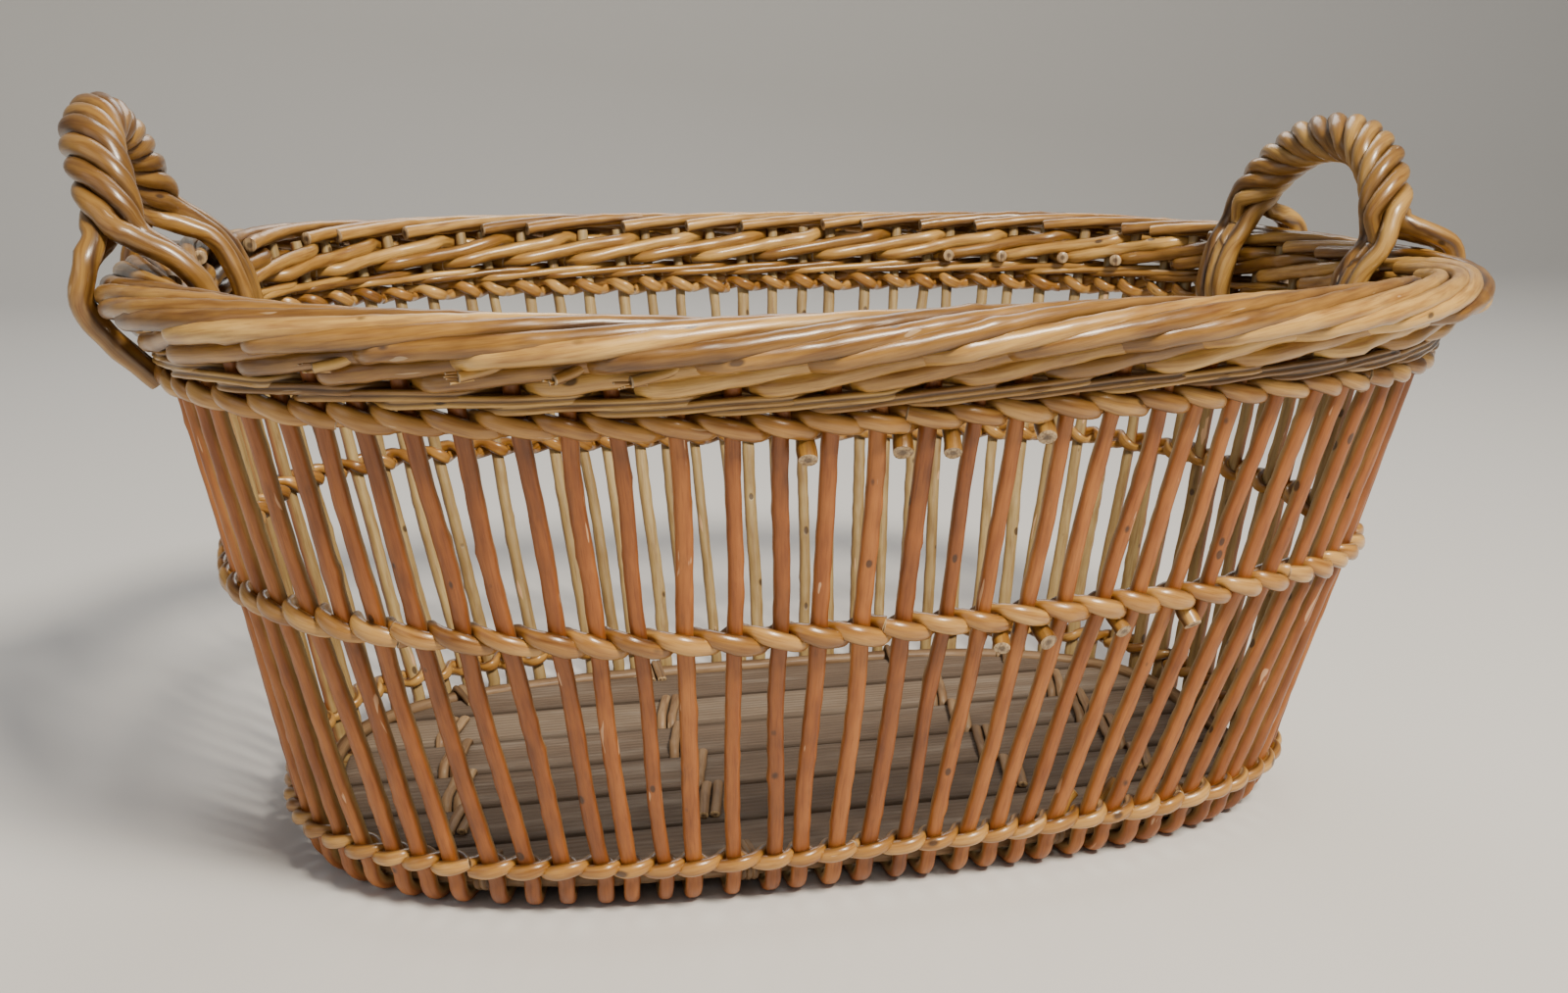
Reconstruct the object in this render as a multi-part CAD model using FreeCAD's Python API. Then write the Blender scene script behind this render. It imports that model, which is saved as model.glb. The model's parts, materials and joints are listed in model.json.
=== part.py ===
import FreeCAD, Part
import bisect
import math
import os

os.makedirs("parts", exist_ok=True)

# An oval open-sided willow basket with two rope handles and a slatted wooden base.
# Millimetres, +Z up, long way along X, standing on z = 0 about its own centre.

# Overall shape: the oval that the stakes stand on, at three heights
low_half_length = 293.0
low_half_width = 168.0
mid_half_length = 318.0
mid_half_width = 219.0
top_half_length = 340.0
top_half_width = 250.0
squareness = 3.0          # 2 is an ellipse, more is squarer in the corners

low_band_height = 30.0
mid_band_height = 170.0
top_band_height = 280.0

# Stakes
stake_count = 88
stake_thickness = 8.0
foot_length = 34.0        # how far each stake is turned in under the base
foot_bend = 14.0

# Woven rods
band_rod = 5.4            # the pairs at the three bands
thin_rod = 4.2            # the row over the top band
thick_rod = 7.2           # the row under the border
border_rod = 8.2
hoop_rod = 10.0
lash_rod = 3.6
butt_rod = 7.0
clearance = 0.2

# Border: a roll of rods wound slantwise round the top of the wall
stakes_per_border_rod = 2
border_half_depth = 17.0
border_half_height = 10.4
border_out = 5.0
border_start = -40.0      # degrees, 0 is outward and 90 is up
border_end = 140.0
border_run = 8.2          # how many stakes one border rod passes

# Handles
handle_rod = 8.4
handle_strands = 5
strand_circle = 10.6      # radius of the circle that the strands' middles wind on
left_handle_top = 412.0
right_handle_top = 405.0
left_handle_out = 18.0    # how far outside the wall the rope's ends stand
right_handle_out = -5.0
handle_crown_out = 17.0   # how much further out a handle's crown leans
handle_half_span = 66.0
handle_foot_half_span = 80.0
handle_turns = 3.5
strand_spread = 10.5      # from strand to strand where they pass the border
loop_out = 33.0           # how far the outer strands swing round the border
loop_in = 25.0

# Base
board_count = 6
board_gap = 4.6
board_thickness = 8.0
weave_places = (-205.0, -65.0, 120.0, 205.0)

# Where cut butts stick out below a band, counted in gaps between stakes
mid_butt_places = (68.5, 69.5, 71.5, 73.5)
top_butt_places = (63.5, 65.5, 66.5, 68.5)

sectors = 8
quarters = 4


def vec(x, y, z):
    return FreeCAD.Vector(x, y, z)


def circle_radius(angle, half_length, half_width):
    across = abs(math.cos(angle) / half_length) ** squareness
    along = abs(math.sin(angle) / half_width) ** squareness
    return (across + along) ** (-1.0 / squareness)


class Ring:
    """A level oval, walked by the share of its own length."""

    def __init__(self, half_length, half_width, height):
        self.height = height
        self.points = []
        self.lengths = [0.0]
        steps = 720
        for step in range(steps + 1):
            angle = 2.0 * math.pi * step / steps
            radius = circle_radius(angle, half_length, half_width)
            self.points.append((radius * math.cos(angle), radius * math.sin(angle)))
        for (x0, y0), (x1, y1) in zip(self.points, self.points[1:]):
            self.lengths.append(self.lengths[-1] + math.hypot(x1 - x0, y1 - y0))

    def at(self, share):
        target = (share % 1.0) * self.lengths[-1]
        index = max(1, bisect.bisect_left(self.lengths, target))
        part = (target - self.lengths[index - 1]) / (self.lengths[index] - self.lengths[index - 1])
        x0, y0 = self.points[index - 1]
        x1, y1 = self.points[index]
        return x0 + (x1 - x0) * part, y0 + (y1 - y0) * part


rings = [Ring(low_half_length, low_half_width, low_band_height),
         Ring(mid_half_length, mid_half_width, mid_band_height),
         Ring(top_half_length, top_half_width, top_band_height)]


def wall_line(share, height):
    """Where the middle of a stake is at this height, before any offset."""
    lower, upper = (rings[0], rings[1]) if height < mid_band_height else (rings[1], rings[2])
    part = (height - lower.height) / (upper.height - lower.height)
    x0, y0 = lower.at(share)
    x1, y1 = upper.at(share)
    return x0 + (x1 - x0) * part, y0 + (y1 - y0) * part


def wall(share, height, out=0.0):
    """A point on the wall, moved outward by out."""
    x, y = wall_line(share, height)
    x0, y0 = wall_line(share - 0.002, height)
    x1, y1 = wall_line(share + 0.002, height)
    length = math.hypot(x1 - x0, y1 - y0)
    return vec(x + out * (y1 - y0) / length, y - out * (x1 - x0) / length, height)


def stake_share(place):
    """The share of the way round at a place counted in stakes."""
    return place / stake_count


def rod(points, thickness, bend):
    """A round rod through these points: straight runs joined by tangent bends."""
    edges = []
    start = points[0]
    for before, corner, after in zip(points, points[1:], points[2:]):
        arriving = (corner - before).normalize()
        leaving = (after - corner).normalize()
        turn = arriving.getAngle(leaving)
        if turn < 0.03:
            continue
        room = 0.48 * min((corner - before).Length, (after - corner).Length)
        cut = min(bend * math.tan(turn / 2.0), room)
        radius = cut / math.tan(turn / 2.0)
        inward = (leaving - arriving).normalize()
        first = corner - arriving * cut
        last = corner + leaving * cut
        middle = corner + inward * (radius / math.cos(turn / 2.0) - radius)
        edges.append(Part.LineSegment(start, first).toShape())
        edges.append(Part.Arc(first, middle, last).toShape())
        start = last
    edges.append(Part.LineSegment(start, points[-1]).toShape())
    path = Part.Wire(edges)
    circle = Part.Circle(points[0], points[1] - points[0], thickness / 2.0)
    section = Part.Face(Part.Wire([circle.toShape()]))
    return path.makePipe(section)


def save(name, solids):
    shape = solids[0] if len(solids) == 1 else Part.makeCompound(solids)
    shape.exportStep("parts/%s.step" % name)
    print(name, len(solids), "solids", "valid" if shape.isValid() else "NOT VALID",
          round(sum(solid.Volume for solid in solids)))


# Heights that follow from the rods
thin_rise = 2.0 * (thin_rod + clearance)
thick_rise = 2.0 * (thick_rod + clearance)
thin_height = top_band_height + band_rod + clearance + thin_rise / 2.0 + thin_rod / 2.0
thick_height = thin_height + thin_rise / 4.0 + thick_rise / 2.0 + (thin_rod + thick_rod) / 2.0 + clearance
wall_top = thick_height + thick_rise / 2.0 + thick_rod / 2.0
border_height = wall_top + 1.5 + border_rod / 2.0 - border_half_height
foot_top = stake_thickness
hoop_height = foot_top + hoop_rod / 2.0 + 1.2
hoop_in = stake_thickness / 2.0 + hoop_rod / 2.0 + 2.0
board_bottom = foot_top + clearance
board_top = board_bottom + board_thickness
board_in = hoop_in + hoop_rod / 2.0 + 2.2


def stake(place):
    share = stake_share(place)
    corner_height = stake_thickness / 2.0
    points = [wall(share, corner_height, -foot_length),
              wall(share, corner_height),
              wall(share, low_band_height),
              wall(share, mid_band_height),
              wall(share, wall_top - 3.0)]
    return rod(points, stake_thickness, foot_bend)


def pair_rod(height, first, last, side, slant):
    """One rod of a pair from stake first to stake last. side is 1 or -1 at the first
    stake, outside or inside; slant is 1 where the outside strokes rise to the right."""
    reach = (stake_thickness + band_rod) / 2.0 + clearance
    half_twist = (band_rod + clearance) / 2.0
    flat = 3.6
    spacing = ring_length(height) / stake_count
    ends = 0.5 - 0.2 / spacing
    points = [wall(stake_share(first - ends), height + slant * side * -half_twist)]
    for place in range(first, last + 1):
        out = side * (1 if (place - first) % 2 == 0 else -1)
        for step in (-1, 1):
            share = stake_share(place + step * flat / spacing)
            points.append(wall(share, height + step * out * slant * half_twist, out * reach))
    out = side * (1 if (last - first) % 2 == 0 else -1)
    points.append(wall(stake_share(last + ends), height + slant * out * half_twist))
    return rod(points, band_rod, 5.0)


def ring_length(height):
    x0, y0 = wall_line(0.0, height)
    length = 0.0
    for step in range(1, 241):
        x1, y1 = wall_line(step / 240.0, height)
        length += math.hypot(x1 - x0, y1 - y0)
        x0, y0 = x1, y1
    return length


def long_stroke_rod(height, thickness, rise, first):
    """A rod that lies outside four stakes climbing, then inside four coming down."""
    reach = (stake_thickness + thickness) / 2.0 + clearance
    end = 0.02
    near = 0.3
    points = [wall(stake_share(first + end), height - rise / 2.0)]
    for side in (1, -1):
        base = first + (0 if side == 1 else 4)
        for step in (near, 1.5, 2.5, 4.0 - near):
            level = height + side * rise * (step / 4.0 - 0.5)
            points.append(wall(stake_share(base + step), level, side * reach))
        if side == 1:
            points.append(wall(stake_share(base + 4), height + rise / 2.0))
    points.append(wall(stake_share(first + 8 - end), height - rise / 2.0))
    return rod(points, thickness, 9.0)


def border_angles(steps):
    """Angles round the roll at even distances along its section."""
    fine = 400
    angles = [math.radians(border_start + (border_end - border_start) * i / fine) for i in range(fine + 1)]
    lengths = [0.0]
    for a0, a1 in zip(angles, angles[1:]):
        across = border_half_depth * (math.cos(a1) - math.cos(a0))
        upward = border_half_height * (math.sin(a1) - math.sin(a0))
        lengths.append(lengths[-1] + math.hypot(across, upward))
    return [angles[min(fine, bisect.bisect_left(lengths, lengths[-1] * step / steps))]
            for step in range(steps + 1)]


def border_rod_solid(place):
    """One border rod, wound slantwise from under the outer edge to the inner top edge."""
    steps = 10
    points = []
    for step, angle in enumerate(border_angles(steps)):
        out = border_out + border_half_depth * math.cos(angle)
        level = border_height + border_half_height * math.sin(angle)
        points.append(wall(stake_share(place + border_run * step / steps), level, out))
    return rod(points, border_rod, 30.0)


def handle_line(part, end):
    """The middle of the rope: an arch over one end of the basket."""
    top, stands_out = ((left_handle_top, left_handle_out) if end < 0
                       else (right_handle_top, right_handle_out))
    crown = top - strand_circle - handle_rod / 2.0
    foot = border_height + border_half_height + border_rod / 2.0 + 12.0
    angle = math.pi * part
    flat = abs(math.cos(angle)) ** 0.9 * (1 if part < 0.5 else -1)
    y = -handle_half_span * flat
    level = foot + (crown - foot) * math.sin(angle) ** 0.8 if 0 < part < 1 else foot
    wide = (handle_foot_half_span - handle_half_span) * (1.0 - math.sin(angle)) ** 2
    y += -wide if part < 0.5 else wide
    x = top_half_length + stands_out + handle_crown_out * math.sin(angle)
    return vec(end * x, y, level)


def rope_point(number, part, end):
    """A point on the middle of one strand within the rope."""
    middle = handle_line(part, end)
    ahead = handle_line(min(part + 0.01, 1.0), end)
    behind = handle_line(max(part - 0.01, 0.0), end)
    along = (ahead - behind).normalize()
    side = vec(end, 0, 0)
    side = (side - along * side.dot(along)).normalize()
    up = along.cross(side)
    turn = 2.0 * math.pi * ((number + 0.5) / handle_strands + handle_turns * part * end)
    return middle + (side * math.cos(turn) + up * math.sin(turn)) * strand_circle


def foot_points(number, end, side):
    """Where a strand goes after it leaves the rope: inside the wall or round the border.
    The two outermost strands go outside, and each group keeps its order across."""
    part = 0.0 if side < 0 else 1.0
    tops = [rope_point(n, part, end) for n in range(handle_strands)]
    outermost = sorted(range(handle_strands), key=lambda n: -tops[n].x * end)
    outside = number in outermost[:2]
    group = outermost[:2] if outside else outermost[2:]
    rank = sorted(group, key=lambda n: tops[n].y).index(number)
    y = side * handle_foot_half_span + (rank - (len(group) - 1) / 2.0) * strand_spread
    share = share_at(y, end)
    beside = (stake_thickness + handle_rod) / 2.0 + clearance
    if outside:
        route = [(border_height + 15.0, 0.84 * loop_out), (border_height - 1.0, loop_out),
                 (thin_height - 1.0, 0.72 * loop_out), (top_band_height - 14.0, beside)]
    else:
        route = [(border_height + 17.0, -0.68 * loop_in), (border_height, -loop_in),
                 (top_band_height + 4.0, -loop_in), (top_band_height - 14.0, -beside)]
    return [wall(share, height, out) for height, out in route]


def handle_strand(number, end):
    """One strand of a handle: a foot, the twisted rope, and the other foot."""
    steps = 40
    rope = [rope_point(number, step / steps, end) for step in range(steps + 1)]
    start = foot_points(number, end, -1)
    finish = foot_points(number, end, 1)
    return rod(start[::-1] + rope + finish, handle_rod, 16.0)


def share_at(y, end):
    """The share of the way round where the top band is at this y, at one end."""
    low, high = -0.12, 0.12
    for _ in range(40):
        middle = (low + high) / 2.0
        if wall_line(middle, top_band_height)[1] < y:
            low = middle
        else:
            high = middle
    return low if end > 0 else 0.5 - low


def board(number):
    """A base board: a straight slat whose ends follow the oval inside the hoop."""
    outline = []
    steps = 180
    for step in range(steps):
        point = wall(step / steps, low_band_height / 2.0, -board_in)
        outline.append(vec(point.x, point.y, board_bottom))
    oval = Part.Face(Part.makePolygon(outline + outline[:1])).extrude(vec(0, 0, board_thickness))
    width = board_pitch() - board_gap
    y = board_edge(number) + board_gap / 2.0
    slab = Part.makeBox(2.0 * low_half_length, width, board_thickness,
                        vec(-low_half_length, y, board_bottom))
    return slab.common(oval).Solids[0]


def board_pitch():
    half = -wall(0.75, low_band_height / 2.0, -board_in).y
    return 2.0 * half / board_count


def board_edge(number):
    return (number - board_count / 2.0) * board_pitch()


def weave_row(x, side):
    """One of the two strands that bind the boards together across the base."""
    limit = inner_half_width(x) - foot_length - 16.0
    reach_up = board_top + lash_rod / 2.0 + clearance
    reach_down = board_bottom - lash_rod / 2.0 - clearance
    shift = side * (lash_rod / 2.0 + 0.2)
    over = side
    points = []
    for number in range(board_count):
        level = reach_up if over > 0 else reach_down
        start = max(-limit, board_edge(number))
        finish = min(limit, board_edge(number + 1))
        if finish - start > 8.0:
            points.append(vec(x + shift, start, level))
            points.append(vec(x + shift, finish, level))
        over = -over
    return rod(points, lash_rod, lash_rod / 2.0 + clearance)


def place_near(x, side):
    """The gap between stakes nearest to this x on the back (side 1) or the front."""
    first, last = (0, stake_count // 2) if side > 0 else (stake_count // 2, stake_count)
    gaps = [number + 0.5 for number in range(first, last)]
    return min(gaps, key=lambda gap: abs(wall_line(stake_share(gap), hoop_height)[0] - x))


def inner_half_width(x):
    """Half the width of the stakes' feet line at this x."""
    low, high = 0.0, 0.25
    for _ in range(40):
        middle = (low + high) / 2.0
        if wall_line(middle, stake_thickness / 2.0)[0] > abs(x):
            low = middle
        else:
            high = middle
    return wall_line(low, stake_thickness / 2.0)[1]


def lashing(place, shift):
    """A strand looped under the base, up round the hoop and on to the boards."""
    share = stake_share(place)
    below = board_bottom - lash_rod / 2.0 - clearance
    above = board_top + lash_rod / 2.0 + clearance
    round_hoop = hoop_rod / 2.0 + lash_rod / 2.0 + clearance
    flat = [(-hoop_in - 20.0, below),
            (-hoop_in + round_hoop, hoop_height - round_hoop),
            (-hoop_in + round_hoop, hoop_height + round_hoop),
            (-hoop_in - 8.0, hoop_height + round_hoop),
            (-hoop_in - 18.0, above)]
    points = [wall(share + shift, level, out) for out, level in flat]
    return rod(points, lash_rod, round_hoop)


def hoop_piece(first, last):
    points = []
    for place in range(first, last + 1):
        shift = 0.05 if place == first else (-0.05 if place == last else 0.0)
        points.append(wall(stake_share(place + shift), hoop_height, -hoop_in))
    return rod(points, hoop_rod, 60.0)


def butt(place, height):
    """A cut rod end that sticks out below a band between two stakes."""
    share = stake_share(place)
    below = 0.7 * ((butt_rod + band_rod) / 2.0 + clearance)
    level = height - (band_rod + clearance) / 2.0 - below
    return rod([wall(share, level + 6.0, -below - 6.0), wall(share, level - 14.0, 14.0 - below)],
               butt_rod, 5.0)


# Stakes, one group for each eighth of the oval
per_sector = stake_count // sectors
for sector in range(sectors):
    first = sector * per_sector
    save("stakes_%d" % (sector + 1), [stake(first + i) for i in range(per_sector)])

# Three woven bands
for name, height, slant in (("low_band", low_band_height, 1),
                            ("mid_band", mid_band_height, -1),
                            ("top_band", top_band_height, -1)):
    for quarter in range(quarters):
        solids = []
        for half in range(2):
            first = (quarter * 2 + half) * per_sector
            for side in (1, -1):
                solids.append(pair_rod(height, first, first + per_sector - 1, side, slant))
        save("%s_%d" % (name, quarter + 1), solids)

# The thin row and the thick row under the border
for name, height, thickness, rise, shift in (("thin_row", thin_height, thin_rod, thin_rise, 1.5),
                                             ("thick_row", thick_height, thick_rod, thick_rise, 0.5)):
    per_quarter = stake_count // quarters
    for quarter in range(quarters):
        group = range(quarter * per_quarter, (quarter + 1) * per_quarter, 2)
        solids = [long_stroke_rod(height, thickness, rise, place + shift) for place in group]
        save("%s_%d" % (name, quarter + 1), solids)

# The rolled border
rods_in_border = stake_count // stakes_per_border_rod
for sector in range(sectors):
    group = [n for n in range(rods_in_border) if n * sectors // rods_in_border == sector]
    save("border_%d" % (sector + 1), [border_rod_solid(n * stakes_per_border_rod) for n in group])

# Handles
for name, end in (("handle_left", -1), ("handle_right", 1)):
    save(name, [handle_strand(number, end) for number in range(handle_strands)])

# Base
for number in range(board_count):
    save("board_%d" % (number + 1), [board(number)])
hoop_solids = []
for sector in range(sectors):
    hoop_solids.append(hoop_piece(sector * per_sector, (sector + 1) * per_sector))
save("base_hoop", hoop_solids)
for number, x in enumerate(weave_places):
    save("base_weave_%d" % (number + 1), [weave_row(x, 1), weave_row(x, -1)])
lashings = []
for x in weave_places:
    for side in (1, -1):
        place = place_near(x, side)
        lashings += [lashing(place, shift * 0.0026) for shift in (-0.5, 0.5)]
save("base_lashings", lashings)

# Cut butts of the rods that were let in, sticking out below the bands
save("mid_band_butts", [butt(place, mid_band_height) for place in mid_butt_places])
save("top_band_butts", [butt(place, top_band_height) for place in top_butt_places])
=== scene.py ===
import json
import math
import random

import bmesh
import bpy
import numpy as np
from mathutils import Matrix, Vector

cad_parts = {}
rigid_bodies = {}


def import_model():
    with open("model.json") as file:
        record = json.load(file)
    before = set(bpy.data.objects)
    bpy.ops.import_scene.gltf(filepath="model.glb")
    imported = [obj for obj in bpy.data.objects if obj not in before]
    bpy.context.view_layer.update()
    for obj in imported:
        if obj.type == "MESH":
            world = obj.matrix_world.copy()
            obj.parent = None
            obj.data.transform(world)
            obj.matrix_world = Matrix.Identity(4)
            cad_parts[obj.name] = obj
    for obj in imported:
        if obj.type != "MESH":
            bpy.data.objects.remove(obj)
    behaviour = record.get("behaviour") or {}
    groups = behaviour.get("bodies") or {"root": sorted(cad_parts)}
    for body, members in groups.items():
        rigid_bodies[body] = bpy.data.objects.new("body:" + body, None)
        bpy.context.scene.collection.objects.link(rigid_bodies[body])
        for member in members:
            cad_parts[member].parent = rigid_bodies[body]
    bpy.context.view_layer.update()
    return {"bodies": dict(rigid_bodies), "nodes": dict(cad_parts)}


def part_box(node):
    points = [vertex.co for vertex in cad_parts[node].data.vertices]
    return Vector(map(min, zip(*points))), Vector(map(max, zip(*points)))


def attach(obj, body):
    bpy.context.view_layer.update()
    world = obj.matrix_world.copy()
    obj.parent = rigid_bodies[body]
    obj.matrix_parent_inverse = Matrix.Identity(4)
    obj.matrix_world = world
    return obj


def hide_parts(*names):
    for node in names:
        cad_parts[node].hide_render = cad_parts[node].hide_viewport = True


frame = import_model()
root = list(frame["bodies"])[0]
nodes = frame["nodes"]
print("frame loaded", len(nodes), "nodes")


# the wall's shape; its ovals are read from the woven bands
wallShape = {
    "stakes": 88,           # upright rods all the way round
    "squareness": 3.0,      # 2 is an ellipse, more is squarer in the corners
    "stakeDepth": 0.0080,
    "placeJitter": 0.10,    # how unevenly the stakes stand, in spacings
    "sag": 0.0055,          # how far the front of the wall has dropped, left of its middle
    "sagPlace": 0.712,      # as a share of the way round
    "sagSpread": 0.075,
    "seed": 21,
}
stakeCount = wallShape["stakes"]


def nodeSpan(prefix):
    # lowest and highest corner of every CAD node whose name starts like this
    names = [name for name in nodes if name.startswith(prefix) and not name.endswith("butts")]
    lows, highs = zip(*(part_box(name) for name in names))
    low = Vector([min(corner[i] for corner in lows) for i in range(3)])
    high = Vector([max(corner[i] for corner in highs) for i in range(3)])
    return low, high


def bandSize(prefix):
    # height of a band, its rod, and the oval its stakes stand on
    low, high = nodeSpan(prefix)
    rodSize = (high.z - low.z) / 2.04
    reach = wallShape["stakeDepth"] / 2 + rodSize + 0.0002
    return (low.z + high.z) / 2, high.x - reach, high.y - reach


def ovalTable(halfLength, halfWidth):
    # a level oval as points and the share of its length at each
    angle = np.linspace(0.0, 2.0 * math.pi, 1441)
    power = wallShape["squareness"]
    radius = (np.abs(np.cos(angle) / halfLength) ** power
              + np.abs(np.sin(angle) / halfWidth) ** power) ** (-1.0 / power)
    points = np.stack([radius * np.cos(angle), radius * np.sin(angle)], 1)
    steps = np.linalg.norm(np.diff(points, axis=0), axis=1)
    share = np.concatenate([[0.0], np.cumsum(steps)])
    return points, share / share[-1], share[-1]


bandNames = ["low_band_", "mid_band_", "top_band_"]
bandHeights, ovals = [], []
for bandName in bandNames:
    bandHeight, halfLength, halfWidth = bandSize(bandName)
    bandHeights.append(bandHeight)
    ovals.append(ovalTable(halfLength, halfWidth))
lowHeight, midHeight, topHeight = bandHeights


def onOval(index, share):
    points, shares, _ = ovals[index]
    share = np.mod(share, 1.0)
    return np.stack([np.interp(share, shares, points[:, axis]) for axis in (0, 1)], -1)


def wallLine(share, height):
    # the middle of the stakes, before any offset
    share, height = np.broadcast_arrays(np.asarray(share, float), np.asarray(height, float))
    upper = height >= midHeight
    lowPart = (height - lowHeight) / (midHeight - lowHeight)
    highPart = (height - midHeight) / (topHeight - midHeight)
    part = np.where(upper, highPart, lowPart)[..., None]
    first = np.where(upper[..., None], onOval(1, share), onOval(0, share))
    second = np.where(upper[..., None], onOval(2, share), onOval(1, share))
    return first + (second - first) * part


def wallOut(share, height):
    # level direction that points out of the basket
    share = np.asarray(share)
    ahead = wallLine(share + 0.002, height) - wallLine(share - 0.002, height)
    out = np.stack([ahead[..., 1], -ahead[..., 0]], -1)
    return out / np.linalg.norm(out, axis=-1, keepdims=True)


def wallPoint(share, height, out=0.0):
    share, height, out = np.broadcast_arrays(np.asarray(share, float), height, out)
    flat = wallLine(share, height) + wallOut(share, height) * out[..., None]
    away = (share - wallShape["sagPlace"] + 0.5) % 1.0 - 0.5
    sag = wallShape["sag"] * np.exp(-(away / wallShape["sagSpread"]) ** 2)
    sag = sag * ((height - 0.02) / 0.02).clip(0, 1)
    return np.concatenate([flat, (height - sag)[..., None]], -1)


dice = random.Random(wallShape["seed"])
stakeShift = [dice.uniform(-1, 1) * wallShape["placeJitter"] for _ in range(stakeCount)]
stakeLean = [dice.uniform(-1, 1) * 0.10 for _ in range(stakeCount)]
stakeWide = [dice.uniform(0.90, 1.12) for _ in range(stakeCount)]


def shareOf(place, height):
    # share of the way round at a place counted in stakes, with the stakes' own unevenness
    place = np.asarray(place, float)
    lower = np.floor(place).astype(int)
    part = place - lower
    shift = np.array(stakeShift)
    lean = np.array(stakeLean)
    level = (np.asarray(height) - midHeight) / (topHeight - midHeight)

    def drift(number):
        return shift[number % stakeCount] + lean[number % stakeCount] * level

    return (place + drift(lower) * (1 - part) + drift(lower + 1) * part) / stakeCount


def newBundle():
    return {"points": [], "faces": [], "space": [], "tone": [], "cut": [], "outer": [], "count": 0}


def smoothPath(points, spacing=0.003):
    # an even, smooth line through a few points
    points = np.asarray(points, float)
    padded = np.vstack([2 * points[0] - points[1], points, 2 * points[-1] - points[-2]])
    gaps = np.sqrt(np.linalg.norm(np.diff(padded, axis=0), axis=1)) + 1e-9
    knots = np.concatenate([[0.0], np.cumsum(gaps)])
    pieces = []
    for i in range(1, len(padded) - 2):
        p0, p1, p2, p3 = padded[i - 1:i + 3]
        t0, t1, t2, t3 = knots[i - 1:i + 3]
        steps = max(2, int(np.linalg.norm(p2 - p1) / spacing))
        t = np.linspace(t1, t2, steps, endpoint=False)[:, None]

        def blend(first, second, start, end):
            return (end - t) / (end - start) * first + (t - start) / (end - start) * second

        a1, a2, a3 = blend(p0, p1, t0, t1), blend(p1, p2, t1, t2), blend(p2, p3, t2, t3)
        pieces.append(blend(blend(a1, a2, t0, t2), blend(a2, a3, t1, t3), t1, t2))
    pieces.append(points[-1:])
    return np.vstack(pieces)


def addPoints(bundle, points, space, tone, cut, outer):
    # points, with what the material needs to know at each of them
    bundle["points"].append(points)
    bundle["space"].append(space)
    for label, value in (("tone", tone), ("cut", cut), ("outer", outer)):
        bundle[label].append(np.broadcast_to(value, (len(points),)))
    bundle["count"] += len(points)


def addQuads(bundle, start, rings, around, flip=False):
    # the faces between each ring of points and the next
    for row in range(start, start + (rings - 1) * around, around):
        for j in range(around):
            following = (j + 1) % around
            quad = (row + j, row + following, row + around + following, row + around + j)
            bundle["faces"].append(quad[::-1] if flip else quad)


def addRod(bundle, path, outward, halfOut, halfUp, seed, around=12, square=2.0, groove=0.0,
           grooveAt=math.pi, rough=0.03):
    # sweeps an uneven oval section along the path; outward is the direction of its face
    path = np.asarray(path, float)
    count = len(path)
    chance = random.Random(seed)
    tangent = np.gradient(path, axis=0)
    tangent /= np.linalg.norm(tangent, axis=1, keepdims=True) + 1e-12
    outward = np.broadcast_to(outward, path.shape)
    side = outward - tangent * np.sum(outward * tangent, 1, keepdims=True)
    side /= np.linalg.norm(side, axis=1, keepdims=True) + 1e-12
    up = np.cross(tangent, side)
    along = np.concatenate([[0.0], np.cumsum(np.linalg.norm(np.diff(path, axis=0), axis=1))])
    halfOut, halfUp, groove = (np.broadcast_to(np.asarray(value, float), (count,))
                               for value in (halfOut, halfUp, groove))

    angle = np.linspace(0, 2 * math.pi, around, endpoint=False)
    cosine, sine = np.cos(angle), np.sin(angle)
    shape = (np.abs(cosine) ** square + np.abs(sine) ** square) ** (-1.0 / square)
    away = np.abs((angle - grooveAt + math.pi) % (2 * math.pi) - math.pi)
    crease = np.exp(-(away / 0.42) ** 2)
    bump = np.zeros((count, around))
    for _ in range(4):
        wave = chance.uniform(60, 420)
        turns = chance.choice([0, 1, 1, 2])
        bump += np.sin(along[:, None] * wave + angle[None] * turns + chance.uniform(0, 6.28))
    size = shape[None] * (1 + rough * bump / 2) * (1 - groove[:, None] * crease[None])
    for _ in range(int(along[-1] / 0.09) + 1):
        # a slight swelling where a bud grew
        spot = chance.uniform(0, along[-1])
        facing = chance.uniform(0, 6.28)
        near = np.exp(-((along - spot) / 0.0035) ** 2)[:, None]
        turned = np.cos(angle - facing)[None].clip(0) ** 3
        size = size * (1 + near * (0.03 + 0.14 * turned))
    ring = (path[:, None] + side[:, None] * (size * cosine * halfOut[:, None])[..., None]
            + up[:, None] * (size * sine * halfUp[:, None])[..., None])

    start = bundle["count"]
    offset = chance.uniform(0, 50)
    tone = chance.random()
    mean = float(np.mean(halfOut) + np.mean(halfUp)) / 2
    space = np.stack([np.broadcast_to(cosine * mean, (count, around)),
                      np.broadcast_to(sine * mean, (count, around)),
                      np.broadcast_to(along[:, None] + offset, (count, around))], -1)
    # a groove lowers outer, so the painted shade between rods also darkens the groove
    shown = 1 - (1.6 * groove[:, None] * crease[None]).clip(0, 0.95)
    outer = (cosine[None] * shown).reshape(-1)
    addPoints(bundle, ring.reshape(-1, 3), space.reshape(-1, 3), tone, 0.0, outer)
    addQuads(bundle, start, count, around)
    addCap(bundle, ring[0], path[0], -tangent[0], tone, offset, chance, flip=True)
    addCap(bundle, ring[-1], path[-1], tangent[-1], tone, offset + 3, chance, flip=False)


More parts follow.
